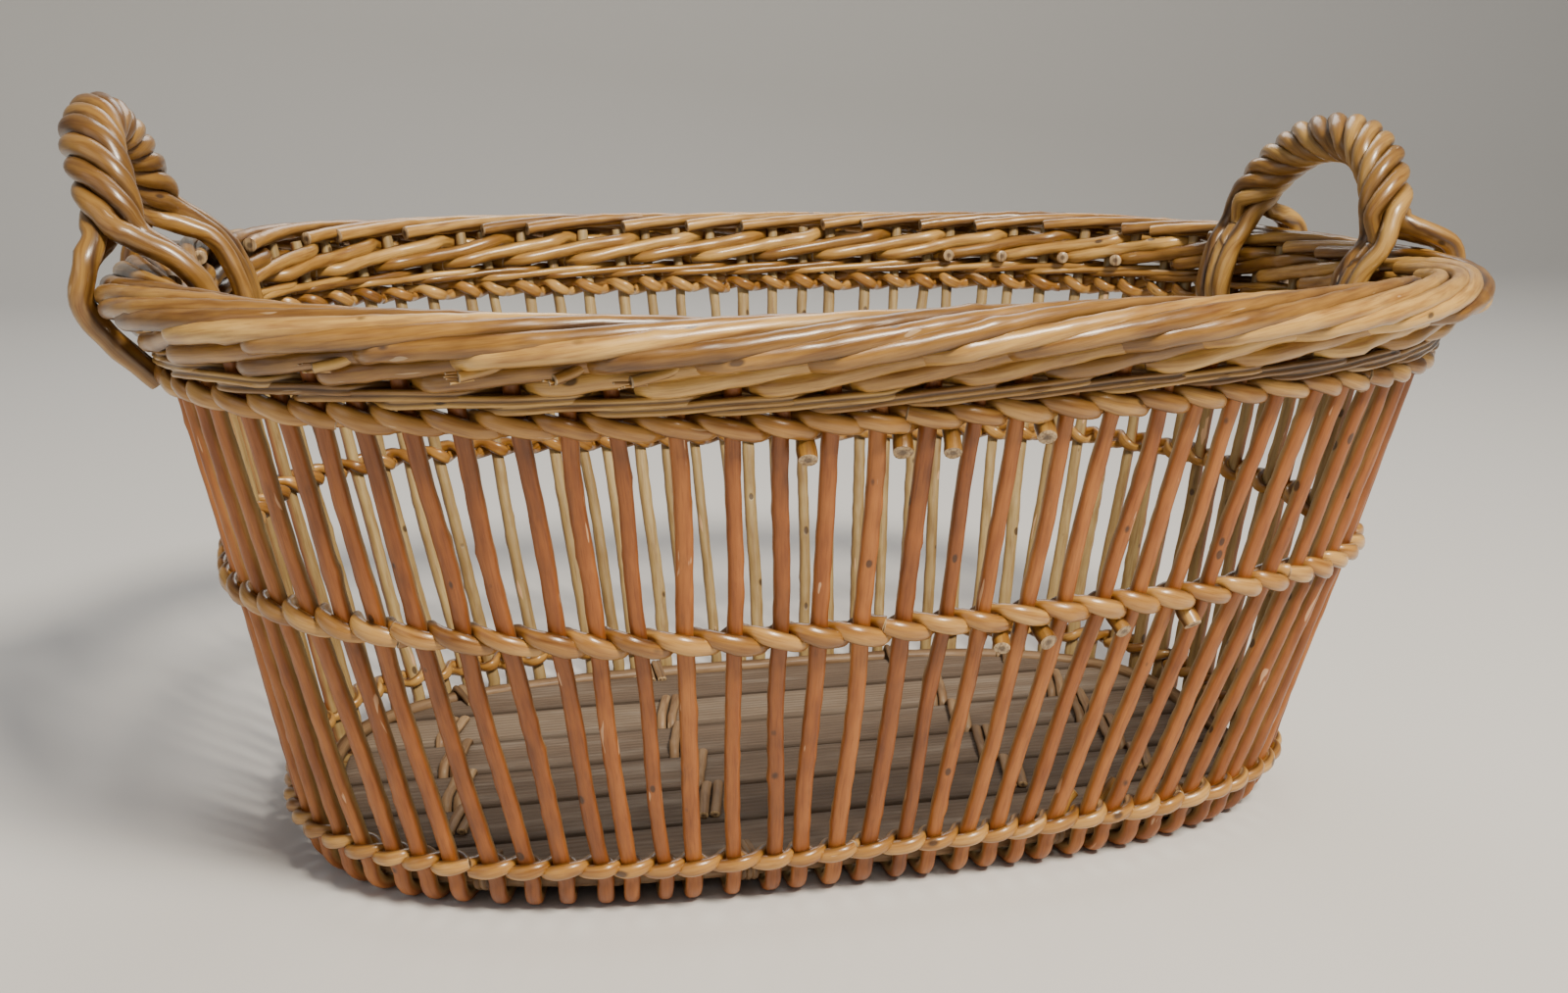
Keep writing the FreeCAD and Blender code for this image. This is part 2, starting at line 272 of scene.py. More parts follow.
def addCap(bundle, ring, centre, direction, tone, offset, chance, flip):
    # a cut end, with its own points so that the edge stays crisp
    around = len(ring)
    slant = np.array([chance.uniform(-0.25, 0.25) for _ in range(3)])
    inner = centre + (ring - centre) * 0.93
    inner = inner + direction * (0.0004 + (inner - centre) @ slant * 0.5)[:, None]
    core = centre + (ring - centre) * 0.2 + direction * 0.0003
    start = bundle["count"]
    for loop, cut in ((ring, 0.75), (inner, 0.9), (core, 1.0)):
        space = np.concatenate([(loop - centre)[:, :2], np.full((around, 1), offset)], 1)
        addPoints(bundle, loop, space, tone, cut, 0.0)
    addQuads(bundle, start, 3, around, flip)
    last = [start + 2 * around + j for j in range(around)]
    bundle["faces"].append(tuple(last[::-1] if flip else last))


def placed(name, data):
    obj = bpy.data.objects.new(name, data)
    bpy.context.collection.objects.link(obj)
    return obj


def bundleObject(name, bundle, material, replaced):
    mesh = bpy.data.meshes.new(name)
    points = np.vstack(bundle["points"])
    mesh.from_pydata(points.tolist(), [], bundle["faces"])
    for label in ("tone", "cut", "outer"):
        layer = mesh.attributes.new(label, "FLOAT", "POINT")
        layer.data.foreach_set("value", np.concatenate(bundle[label]).astype(np.float32))
    layer = mesh.attributes.new("rodSpace", "FLOAT_VECTOR", "POINT")
    layer.data.foreach_set("vector", np.vstack(bundle["space"]).astype(np.float32).ravel())
    mesh.polygons.foreach_set("use_smooth", [True] * len(mesh.polygons))
    mesh.materials.append(material)
    mesh.validate()
    obj = placed(name, mesh)
    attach(obj, root)
    if replaced:
        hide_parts(*replaced)
    return obj


def feed(tree, socket, value):
    # a number, a colour or another node's output
    if isinstance(value, (int, float)):
        socket.default_value = value
    elif isinstance(value, tuple):
        socket.default_value = (*value, 1.0)
    elif value is not None:
        tree.links.new(value, socket)


def mathNode(tree, operation, first, second=None, clamp=False):
    node = tree.nodes.new("ShaderNodeMath")
    node.operation = operation
    node.use_clamp = clamp
    feed(tree, node.inputs[0], first)
    feed(tree, node.inputs[1], second)
    return node.outputs[0]


def plus(tree, first, second):
    return mathNode(tree, "ADD", first, second)


def times(tree, first, second):
    return mathNode(tree, "MULTIPLY", first, second)


def mixColour(tree, amount, first, second, mode="MIX"):
    node = tree.nodes.new("ShaderNodeMix")
    node.data_type = "RGBA"
    node.blend_type = mode
    feed(tree, node.inputs["Factor"], amount)
    feed(tree, node.inputs[6], first)
    feed(tree, node.inputs[7], second)
    return node.outputs[2]


def stain(tree, body, mask, amount, colour, mode="MIX"):
    return mixColour(tree, times(tree, mask, amount), body, colour, mode)


def attribute(tree, name, output="Fac"):
    node = tree.nodes.new("ShaderNodeAttribute")
    node.attribute_name = name
    return node.outputs[output]


def stretched(tree, vector, scale):
    node = tree.nodes.new("ShaderNodeVectorMath")
    node.operation = "MULTIPLY"
    node.inputs[1].default_value = scale
    tree.links.new(vector, node.inputs[0])
    return node.outputs[0]


def noiseOf(tree, vector, scale, detail=4.0, rough=0.55, distortion=0.0, stretch=None):
    node = tree.nodes.new("ShaderNodeTexNoise")
    node.inputs["Scale"].default_value = scale
    node.inputs["Detail"].default_value = detail
    node.inputs["Roughness"].default_value = rough
    node.inputs["Distortion"].default_value = distortion
    tree.links.new(stretched(tree, vector, stretch) if stretch else vector, node.inputs["Vector"])
    return node.outputs["Fac"]


def ramp(tree, value, stops):
    node = tree.nodes.new("ShaderNodeValToRGB")
    elements = node.color_ramp.elements
    while len(elements) < len(stops):
        elements.new(0.5)
    for element, (spot, colour) in zip(elements, stops):
        element.position = spot
        element.color = (*colour, 1.0)
    tree.links.new(value, node.inputs[0])
    return node.outputs[0]


def fade(tree, value, low, high):
    node = tree.nodes.new("ShaderNodeMapRange")
    node.inputs["From Min"].default_value = low
    node.inputs["From Max"].default_value = high
    tree.links.new(value, node.inputs["Value"])
    return node.outputs["Result"]


def newMaterial(name):
    material = bpy.data.materials.new(name)
    material.use_nodes = True
    tree = material.node_tree
    return material, tree, tree.nodes["Principled BSDF"]


def addBump(tree, shader, height, strength, distance):
    bump = tree.nodes.new("ShaderNodeBump")
    bump.inputs["Strength"].default_value = strength
    bump.inputs["Distance"].default_value = distance
    tree.links.new(height, bump.inputs["Height"])
    tree.links.new(bump.outputs[0], shader.inputs["Normal"])


def willowMaterial(name, look):
    # peeled, varnished willow: long grain, tone from rod to rod, dark bud scars, worn pale marks
    material, tree, shader = newMaterial(name)
    space = attribute(tree, "rodSpace", "Vector")
    tone = attribute(tree, "tone")
    outer = attribute(tree, "outer")
    cut = attribute(tree, "cut")

    grain = noiseOf(tree, space, 1500.0, 5.0, 0.6, stretch=(1.0, 1.0, 0.045))
    streak = noiseOf(tree, space, 330.0, 3.0, 0.5, 0.3, stretch=(1.0, 1.0, 0.10))
    cloud = noiseOf(tree, space, 70.0, 3.0, 0.5, stretch=(1.0, 1.0, 0.5))
    drift = plus(tree, times(tree, tone, look["toneSpread"]),
                 times(tree, cloud, 1.0 - look["toneSpread"]))
    shade = fade(tree, drift, 0.15, 0.85)
    body = ramp(tree, shade, [(0.0, look["dark"]), (0.45, look["middle"]), (1.0, look["light"])])
    # outward faces keep the main colours, which for the stakes are the willow's own tone with a painted
    # red reflection; inward faces take the paler inside colours
    if "inside" in look:
        inside = ramp(tree, shade, [(0.0, look["insideDark"]), (1.0, look["inside"])])
        body = mixColour(tree, fade(tree, outer, -0.5, 0.35), inside, body)
    body = stain(tree, body, fade(tree, streak, 0.42, 0.75), look["streak"], look["streakColour"],
                 "MULTIPLY")
    body = stain(tree, body, fade(tree, grain, 0.50, 0.72), look["grain"], look["grainColour"],
                 "MULTIPLY")

    scar = tree.nodes.new("ShaderNodeTexVoronoi")
    scar.inputs["Scale"].default_value = look["scarScale"]
    tree.links.new(stretched(tree, space, (1.0, 1.0, 0.55)), scar.inputs["Vector"])
    scarSize = times(tree, noiseOf(tree, space, 90.0, 1.0), look["scarSize"])
    beyond = mathNode(tree, "SUBTRACT", scar.outputs["Distance"], scarSize)
    scarMask = mathNode(tree, "SUBTRACT", 1.0, fade(tree, beyond, 0.0, 0.05), clamp=True)
    chosen = fade(tree, scar.outputs["Color"], 0.62, 0.64)
    scarMask = times(tree, scarMask, chosen)
    body = stain(tree, body, scarMask, 0.85, look["scarColour"])

    # painted shade: the sides that lie against other rods are darkened, where shade falls between them
    side = mathNode(tree, "ABSOLUTE", outer)
    paintedShadeMask = mathNode(tree, "SUBTRACT", 1.0, fade(tree, side, 0.05, 0.72))
    body = stain(tree, body, paintedShadeMask, look["crevice"], look["creviceColour"], "MULTIPLY")

    grime = noiseOf(tree, space, 160.0, 6.0, 0.65, stretch=(1.0, 1.0, 0.22))
    grimeMask = times(tree, fade(tree, grime, 0.60, 0.74), look["grime"])
    body = mixColour(tree, grimeMask, body, look["grimeColour"])

    wear = noiseOf(tree, space, 210.0, 2.0, 0.4, 0.4, stretch=(1.0, 1.0, 0.16))
    wearMask = times(tree, fade(tree, wear, 0.725, 0.74), look["wear"])
    body = mixColour(tree, wearMask, body, look["wearColour"])

    pith = times(tree, fade(tree, cut, 0.95, 0.99), 0.75)
    endColour = mixColour(tree, fade(tree, noiseOf(tree, space, 900.0, 3.0), 0.4, 0.65),
                          look["cutLight"], look["cutDark"])
    endColour = mixColour(tree, pith, endColour, look["scarColour"])
    cutMask = fade(tree, cut, 0.4, 0.7)
    body = mixColour(tree, cutMask, body, endColour)
    tree.links.new(body, shader.inputs["Base Color"])

    roughness = plus(tree, look["roughness"], times(tree, plus(tree, grimeMask, wearMask), 0.25))
    roughness = plus(tree, roughness, times(tree, cutMask, 0.3))
    tree.links.new(roughness, shader.inputs["Roughness"])
    shader.inputs["Coat Weight"].default_value = look["coat"]
    shader.inputs["Coat Roughness"].default_value = look["coatRoughness"]
    shader.inputs["Specular IOR Level"].default_value = 0.45

    height = plus(tree, times(tree, grain, 0.35), times(tree, streak, 0.6))
    height = mathNode(tree, "SUBTRACT", height, times(tree, scarMask, 0.6))
    addBump(tree, shader, height, look["bump"], 0.0006)
    return material


def changed(look, **values):
    fresh = dict(look)
    fresh.update(values)
    return fresh


goldenWillow = {
    "dark": (0.145, 0.064, 0.012),
    "middle": (0.400, 0.205, 0.042),
    "light": (0.720, 0.445, 0.130),
    "toneSpread": 0.52,
    "streak": 0.85,
    "streakColour": (0.44, 0.30, 0.18),
    "grain": 0.60,
    "grainColour": (0.56, 0.44, 0.31),
    "scarScale": 62.0,
    "scarSize": 0.14,
    "scarColour": (0.045, 0.022, 0.012),
    # painted shade between rods: its strength and its colour
    "crevice": 0.95,
    "creviceColour": (0.14, 0.085, 0.045),
    "grime": 0.45,
    "grimeColour": (0.13, 0.075, 0.036),
    "wear": 0.35,
    "wearColour": (0.74, 0.56, 0.36),
    "cutLight": (0.50, 0.36, 0.20),
    "cutDark": (0.22, 0.135, 0.07),
    "roughness": 0.33,
    "coat": 0.45,
    "coatRoughness": 0.20,
    "bump": 0.6,
}
# stakes: the main colours are the willow's own tone with a painted red reflection, for the outward faces;
# inside and insideDark are the paler inward faces
stakeWillow = changed(
    goldenWillow,
    dark=(0.175, 0.054, 0.012), middle=(0.330, 0.104, 0.019), light=(0.480, 0.178, 0.038),
    inside=(0.50, 0.370, 0.165), insideDark=(0.27, 0.175, 0.066), toneSpread=0.38,
    crevice=0.0, wear=0.75, streak=0.60, grime=0.50, grimeColour=(0.115, 0.050, 0.022),
    wearColour=(0.66, 0.40, 0.23), scarScale=85.0, scarSize=0.20, roughness=0.46, coat=0.15,
)
handleWillow = changed(
    goldenWillow,
    dark=(0.150, 0.070, 0.014), middle=(0.340, 0.180, 0.040), light=(0.580, 0.360, 0.105),
    crevice=0.90, grime=0.45, roughness=0.33, coat=0.50,
)
baseWillow = changed(
    goldenWillow,
    dark=(0.150, 0.088, 0.044), middle=(0.270, 0.170, 0.090), light=(0.390, 0.265, 0.150),
    crevice=0.5, coat=0.05, roughness=0.58, grime=0.5,
)
bandWillow = changed(
    goldenWillow,
    dark=(0.240, 0.105, 0.020), middle=(0.450, 0.222, 0.048), light=(0.680, 0.415, 0.130),
    crevice=0.90, coat=0.45, roughness=0.32,
)


def boardMaterial(name, look):
    # old softwood: open grain along the board, grey weathering, dark edges
    material, tree, shader = newMaterial(name)
    space = attribute(tree, "rodSpace", "Vector")
    tone = attribute(tree, "tone")
    warp = noiseOf(tree, space, 22.0, 2.0, 0.5, stretch=(0.25, 1.0, 1.0))
    rings = tree.nodes.new("ShaderNodeTexWave")
    rings.wave_type = "BANDS"
    rings.bands_direction = "Y"
    rings.inputs["Scale"].default_value = look["ringScale"]
    rings.inputs["Distortion"].default_value = 9.0
    rings.inputs["Detail"].default_value = 3.0
    rings.inputs["Detail Scale"].default_value = 0.35
    tree.links.new(stretched(tree, space, (0.06, 1.0, 1.0)), rings.inputs["Vector"])
    fine = noiseOf(tree, space, 900.0, 5.0, 0.65, stretch=(0.03, 1.0, 1.0))
    patch = noiseOf(tree, space, 26.0, 5.0, 0.6, stretch=(0.35, 1.0, 1.0))
    drift = plus(tree, times(tree, tone, 0.4), times(tree, patch, 0.6))
    body = ramp(tree, fade(tree, drift, 0.2, 0.8),
                [(0.0, look["dark"]), (0.5, look["middle"]), (1.0, look["light"])])
    body = stain(tree, body, rings.outputs["Fac"], look["ring"], look["ringColour"], "MULTIPLY")
    body = stain(tree, body, fade(tree, fine, 0.45, 0.7), look["fine"], look["fineColour"], "MULTIPLY")
    weather = noiseOf(tree, space, 60.0, 4.0, 0.6, stretch=(0.12, 1.0, 1.0))
    body = stain(tree, body, fade(tree, weather, 0.52, 0.74), look["silver"], look["silverColour"])
    body = stain(tree, body, fade(tree, attribute(tree, "cut"), 0.2, 0.9), 0.5, look["edgeColour"])
    tree.links.new(body, shader.inputs["Base Color"])
    shader.inputs["Roughness"].default_value = look["roughness"]
    shader.inputs["Specular IOR Level"].default_value = 0.3
    height = plus(tree, times(tree, rings.outputs["Fac"], 0.5), times(tree, fine, 0.8))
    height = plus(tree, height, times(tree, warp, 0.3))
    addBump(tree, shader, height, look["bump"], 0.0010)
    return material


weatheredBoard = {
    "dark": (0.085, 0.062, 0.048),
    "middle": (0.165, 0.122, 0.092),
    "light": (0.26, 0.205, 0.155),
    "ringScale": 70.0,
    "ring": 0.40,
    "ringColour": (0.55, 0.48, 0.42),
    "fine": 0.55,
    "fineColour": (0.50, 0.44, 0.40),
    "silver": 0.45,
    "silverColour": (0.34, 0.30, 0.26),
    "edgeColour": (0.055, 0.038, 0.028),
    "roughness": 0.72,
    "bump": 0.7,
}

willowOfStakes = willowMaterial("willowStake", stakeWillow)
willowOfBands = willowMaterial("willowBand", bandWillow)
willowOfBorder = willowMaterial("willowBorder", goldenWillow)
willowOfHandles = willowMaterial("willowHandle", handleWillow)
willowOfBase = willowMaterial("willowBase", baseWillow)
boardWood = boardMaterial("weatheredBoard", weatheredBoard)
print("materials made")


stakeLook = {
    "halfOut": 0.0037,
    "halfUp": 0.0039,
    "section": 2.7,          # 2 is round, more has flatter faces
    "bow": 0.0014,           # how far a stake bends off its line between the bands
    "footReach": 0.034,
    "footBend": 0.014,
    "footPoints": 8,         # points along the flat run, and again round the bend
    "top": 0.317,
}


def stakePath(place):
    look = stakeLook
    chance = random.Random(1000 + place)
    half = wallShape["stakeDepth"] / 2
    low = half + look["footBend"]
    top = look["top"]
    heights = np.linspace(low, top, 72)
    share = shareOf(place, heights)
    bow = np.zeros_like(heights)
    for first, last in ((lowHeight, midHeight), (midHeight, topHeight)):
        part = ((heights - first) / (last - first)).clip(0, 1)
        bow += np.sin(part * math.pi) * chance.uniform(-1, 1) * look["bow"]
        bow += np.sin(part * 2 * math.pi) * chance.uniform(-1, 1) * look["bow"] * 0.6
    spacing = ovals[1][2]
    upper = wallPoint(share + bow / spacing, heights, 0.0)
    footShare = shareOf(place, lowHeight)
    out = wallOut(footShare, lowHeight)
    bend = []
    turns = np.linspace(math.pi / 2, 0, look["footPoints"] + 1)[:-1]
    reach = look["footReach"] * chance.uniform(0.85, 1.0)
    start = wallLine(footShare, low)
    bendRun = [(look["footBend"] * (1 - math.cos(turn)), low - look["footBend"] * math.sin(turn))
               for turn in turns]
    for inward, level in [(reach, half)] + bendRun:
        flat = start - out * inward
        bend.append([flat[0], flat[1], level])
    foot = np.array(bend)
    flatRun = np.linspace(foot[0], foot[1], look["footPoints"], endpoint=False)
    return np.vstack([flatRun, foot[1:], upper]), out


def buildStakes():
    perNode = stakeCount // 8
    for sector in range(8):
        bundle = newBundle()
        for place in range(sector * perNode, (sector + 1) * perNode):
            path, footOut = stakePath(place)
            count = len(path)
            flat = stakeLook["footPoints"]
            upper = path[2 * flat:, 2]
            out = np.zeros((count, 3))
            out[:flat] = (0, 0, -1)
            for i in range(1, flat + 1):
                turn = i / (flat + 1) * math.pi / 2
                out[flat - 1 + i] = (*(footOut * math.sin(turn)), -math.cos(turn))
            out[2 * flat:, :2] = wallOut(shareOf(place, upper), upper)
            taper = np.linspace(1.06, 0.94, count)
            halfUp = stakeLook["halfUp"] * stakeWide[place]
            addRod(bundle, path, out, stakeLook["halfOut"] * taper, halfUp * taper,
                   2000 + place, around=14, square=stakeLook["section"], rough=0.035)
        bundleObject("stakesPart%d" % (sector + 1), bundle, willowOfStakes,
                     ["stakes_%d" % (sector + 1)])


buildStakes()
print("stakes made")


bandLooks = {
    "low_band_": {"slant": 1, "reach": 0.0068, "drop": 0.0030, "long": 0.62, "fatUp": 0.0040,
                  "thinUp": 0.0024, "fatOut": 0.0034, "thinOut": 0.0022, "groove": 0.15},
    "mid_band_": {"slant": -1, "reach": 0.0070, "drop": 0.0043, "long": 0.66, "fatUp": 0.0047,
                  "thinUp": 0.0024, "fatOut": 0.0035, "thinOut": 0.0022, "groove": 0.25},
    "top_band_": {"slant": -1, "reach": 0.0070, "drop": 0.0039, "long": 0.66, "fatUp": 0.0045,
                  "thinUp": 0.0025, "fatOut": 0.0036, "thinOut": 0.0023, "groove": 0.25,
                  "lower": 0.0016},
}


def pairStrand(height, first, last, side, look, seed):
    # one rod of a pair: a long slanting stroke outside one stake, a short one inside the next
    chance = random.Random(seed)
    place = np.linspace(first - 0.5, last + 0.5, (last - first + 1) * 20 + 1)
    turn = np.mod(place - first + (1 if side > 0 else 0), 2) - 1
    part = np.abs(turn)
    long = look["long"]
    outer = part < long
    fall = np.where(outer, -turn / long, np.sign(turn) * (part - 1) / (1 - long))
    padded = np.pad(fall, 2, mode="reflect", reflect_type="odd")
    fall = np.convolve(padded, np.ones(5) / 5, mode="valid")
    quarterTurn = np.where(outer, part / long, (1 - part) / (1 - long)) * math.pi / 2
    swing = np.where(outer, 1, -1) * np.cos(quarterTurn)
    out = np.sign(swing) * np.abs(swing) ** 0.6 * look["reach"]
    out = np.convolve(np.pad(out, 2, mode="edge"), np.ones(5) / 5, mode="valid")

    def perStake(least, most):
        values = [chance.uniform(least, most) for _ in range(last - first + 3)]
        return np.interp(place, np.arange(first - 1, last + 2), values)

    level = height - look["slant"] * fall * look["drop"] * perStake(0.8, 1.15)
    level = level + 0.0006 * np.sin(place * chance.uniform(0.7, 1.3) + chance.uniform(0, 6))
    path = wallPoint(shareOf(place, height), level, out)
    outward = np.pad(wallOut(place / stakeCount, height), ((0, 0), (0, 1)))
    fat = np.maximum(swing.clip(0, 1) ** 0.5, 0.72 * (-swing).clip(0, 1) ** 0.5)
    uneven = perStake(0.88, 1.10)
    halfUp = look["thinUp"] + (look["fatUp"] - look["thinUp"]) * fat
    halfOut = look["thinOut"] + (look["fatOut"] - look["thinOut"]) * fat
    return path, outward, halfOut * uneven, halfUp * uneven, (-swing).clip(0, 1) * look["groove"]


def buildBands():
    perRod = stakeCount // 8
    for bandName, height in zip(bandNames, bandHeights):
        look = bandLooks[bandName]
        for quarter in range(4):
            bundle = newBundle()
            for half in range(2):
                first = (quarter * 2 + half) * perRod
                for side in (1, -1):
                    seed = 5000 + first * 7 + side + int(height * 1000)
                    path, outward, halfOut, halfUp, groove = pairStrand(
                        height - look.get("lower", 0.0), first, first + perRod - 1, side, look, seed)
                    addRod(bundle, path, outward, halfOut, halfUp, seed, around=14, square=2.2,
                           groove=groove, rough=0.04)
            bundleObject(bandName.replace("_", "") + "Part%d" % (quarter + 1), bundle, willowOfBands,
                         [bandName + str(quarter + 1)])


buildBands()
print("bands made")


# long strokes under the border
rowLooks = {
    "thin_row_": {"half": 0.0027, "start": 1.5, "groove": 0.55, "lower": 0.0028, "steep": 0.8},
    "thick_row_": {"half": 0.0050, "start": 0.5, "groove": 0.0, "lower": 0.0028, "steep": 1.3},
}


def longStroke(prefix, first, look, seed):
    # outside four stakes climbing, then inside four coming down
    chance = random.Random(seed)
    low, high = nodeSpan(prefix)
    middle = (low.z + high.z) / 2
    rise = (high.z - low.z) - 2 * look["half"]
    reach = wallShape["stakeDepth"] / 2 + look["half"]
    points = [(0.0, -0.5, 0.0)]
    for side, base in ((1, 0), (-1, 4)):
        points += [(base + step, side * (step / 4 - 0.5), side) for step in (0.4, 1.5, 2.5, 3.6)]
        points.append((base + 4, side * 0.5, 0.0))
    rows = []
    for place, level, side in points:
        height = middle - look["lower"] + level * rise * look["steep"] + chance.uniform(-1, 1) * 0.0005
        rows.append(wallPoint(shareOf(first + place, height), height, side * reach))
    return smoothPath(rows, 0.004)


def outwardAt(path):
    # level direction out of the basket at each point, from the oval's own slope
    flat = path[:, :2]
    power = wallShape["squareness"]
    half = ovals[2][0].max(0)
    slope = np.sign(flat) * np.abs(flat / half) ** (power - 1) / half
    slope /= np.linalg.norm(slope, axis=1, keepdims=True) + 1e-12
    return np.pad(slope, ((0, 0), (0, 1)))


def buildRows():
    for prefix, look in rowLooks.items():
        perQuarter = stakeCount // 4
        for quarter in range(4):
            bundle = newBundle()
            for place in range(quarter * perQuarter, (quarter + 1) * perQuarter, 2):
                seed = 9000 + place * 3 + len(prefix)
                path = longStroke(prefix, place + look["start"], look, seed)
                part = np.linspace(0, 1, len(path))
                size = look["half"] * (1.08 - 0.16 * part)
                addRod(bundle, path, outwardAt(path), size, size, seed, around=14,
                       groove=look["groove"], grooveAt=0.0, rough=0.04)
            bundleObject(prefix.replace("_", "") + "Part%d" % (quarter + 1), bundle, willowOfBorder,
                         [prefix + str(quarter + 1)])


buildRows()
print("rows made")


borderLook = {
    "half": 0.0049,
    "startAngle": -16.0,      # 0 is outward, 90 is up
    "endAngle": 150.0,
    "run": 9.0,               # how many stakes one rod passes
    "stakesPerRod": 2,
    "out": 0.005,
    "halfDepth": 0.0170,
    "halfHeight": 0.0094,
}
borderTop = nodeSpan("border_")[1].z
borderMiddle = borderTop - borderLook["halfHeight"] - 0.0041


def borderPath(place, chance):
    look = borderLook
    part = np.linspace(0, 1, 60)
    angle = np.radians(look["startAngle"] + (look["endAngle"] - look["startAngle"]) * part)
    out = look["out"] + look["halfDepth"] * np.cos(angle)
    level = borderMiddle + look["halfHeight"] * np.sin(angle)
    level = level + 0.0006 * np.sin(part * 7 + chance.uniform(0, 6))
    where = place + look["run"] * chance.uniform(0.94, 1.08) * part
    # the start is a rounded elbow that comes out between two stakes
    elbow = np.linspace(0, 1, 10)[:-1]
    share = np.concatenate([place - 0.55 + 0.55 * elbow, where]) / stakeCount
    out = np.concatenate([out[0] - 0.012 * (1 - np.sin(elbow * math.pi / 2)), out])
    level = np.concatenate([level[0] - 0.003 * (1 - elbow), level])
    path = wallPoint(share, level, out)
    angle = np.concatenate([np.full(len(elbow), angle[0]), angle])
    flat = wallOut(share, level)
    outward = np.concatenate([flat * np.cos(angle)[:, None], np.sin(angle)[:, None]], 1)
    return path, outward


def buildBorder():
    rods = stakeCount // borderLook["stakesPerRod"]
    for sector in range(8):
        bundle = newBundle()
        for number in range(rods):
            if number * 8 // rods != sector:
                continue
            seed = 12000 + number
            chance = random.Random(seed)
            place = number * borderLook["stakesPerRod"] + chance.uniform(-0.2, 0.2)
            path, outward = borderPath(place, chance)
            part = np.linspace(0, 1, len(path))
            size = borderLook["half"] * (1.08 - 0.20 * part) * chance.uniform(0.92, 1.06)
            addRod(bundle, path, outward, size, size * 1.02, seed, around=16, rough=0.035)
        bundleObject("borderPart%d" % (sector + 1), bundle, willowOfBorder,
                     ["border_%d" % (sector + 1)])


buildBorder()
print("border made")


handleLook = {
    "strands": 5,
    "half": 0.0057,
    "ropeRadius": 0.0099,
    "turns": 2.4,
    "halfSpan": 0.066,
    "footHalfSpan": 0.080,
    "standsOut": {"handle_left": 0.018, "handle_right": -0.005},   # its ends, from the wall
    "crownOut": 0.017,       # how much further out the crown leans
    "spread": 0.0105,
    "loopOut": 0.033,        # how far the outer strands swing round the border
    "loopIn": 0.025,
}


def ropeLine(part, end, name):
    # the middle of the rope: an arch over one end of the basket
    look = handleLook
    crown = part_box(name)[1].z - 0.0148
    foot = borderMiddle + borderLook["halfHeight"] + 0.0161
    angle = math.pi * part
    y = -look["halfSpan"] * np.abs(np.cos(angle)) ** 0.9 * np.sign(0.5 - part)
    level = foot + (crown - foot) * np.sin(angle).clip(0) ** 0.8
    y = y + np.sign(part - 0.5) * (look["footHalfSpan"] - look["halfSpan"]) * (1 - np.sin(angle)) ** 2
    x = ovals[2][0][:, 0].max() + look["standsOut"][name] + look["crownOut"] * np.sin(angle)
    return np.stack([end * x * np.ones_like(part), y, level], -1)


def shareAt(y, end):
    # share of the way round where the top band is at this y, at one end
    points, shares, _ = ovals[2]
    count = len(points) // 8
    side = np.interp(abs(y), points[:count, 1], shares[:count]) * (1 if y > 0 else -1)
    return side if end > 0 else 0.5 - side


def footRun(tops, number, end, side):
    # the two outermost strands swing outside the border, the others go down inside the wall
    look = handleLook
    order = sorted(range(look["strands"]), key=lambda n: -tops[n][0] * end)
    outside = number in order[:2]
    group = order[:2] if outside else order[2:]
    rank = sorted(group, key=lambda n: tops[n][1]).index(number)
    y = side * look["footHalfSpan"] + (rank - (len(group) - 1) / 2) * look["spread"]
    share = shareAt(y, end)
    if outside:
        swings = [(borderMiddle + 0.016, look["loopOut"] * 0.80), (borderMiddle - 0.001, look["loopOut"]),
                  (topHeight + 0.016, look["loopOut"] * 0.78), (topHeight + 0.003, 0.0165),
                  (topHeight - 0.006, 0.0092)]
    else:
        swings = [(borderMiddle + 0.017, -look["loopIn"] * 0.68), (borderMiddle, -look["loopIn"]),
                  (topHeight + 0.004, -look["loopIn"]), (topHeight - 0.014, -0.0088)]
    return [wallPoint(share, level, out) for level, out in swings]


def buildHandle(name, pieceName, end):
    look = handleLook
    bundle = newBundle()
    part = np.linspace(0.0, 1.0, 120)
    middle = ropeLine(part, end, name)
    along = np.gradient(middle, axis=0)
    along /= np.linalg.norm(along, axis=1, keepdims=True)
    outOfEnd = np.array([end, 0, 0])
    side = outOfEnd - along * (along @ outOfEnd)[:, None]
    side /= np.linalg.norm(side, axis=1, keepdims=True)
    up = np.cross(along, side)
    ropes = []
    for number in range(look["strands"]):
        turn = 2 * math.pi * ((number + 0.5) / look["strands"] + look["turns"] * part * end)
        away = side * np.cos(turn)[:, None] + up * np.sin(turn)[:, None]
        ropes.append(middle + away * look["ropeRadius"])
    for number, rope in enumerate(ropes):
        start = footRun([line[0] for line in ropes], number, end, -1)
        finish = footRun([line[-1] for line in ropes], number, end, 1)
        guide = np.vstack([start[::-1], rope[2:-2:3], finish])
        path = smoothPath(guide)
        nearest = np.argmin(np.linalg.norm(path[:, None] - middle[None], axis=2), axis=1)
        outward = path - middle[nearest]
        outward /= np.linalg.norm(outward, axis=1, keepdims=True) + 1e-9
        half = look["half"] * (1 + 0.06 * np.sin(np.arange(len(path)) * 0.09 + number))
        addRod(bundle, path, outward, half, half, 15000 + number + 50 * (end + 1), around=16, rough=0.04)
    bundleObject(pieceName, bundle, willowOfHandles, [name])


buildHandle("handle_left", "handleLeft", -1)
buildHandle("handle_right", "handleRight", 1)
print("handles made")


baseLook = {
    "boards": 6,
    "edgeRound": 0.0012,
    "warp": 0.0006,
    "hoopHalf": 0.0050,
    "strandHalf": 0.0027,
    "slope": 0.005,          # how far a strand slants as it crosses a board
    "lashHalf": 0.0020,
}


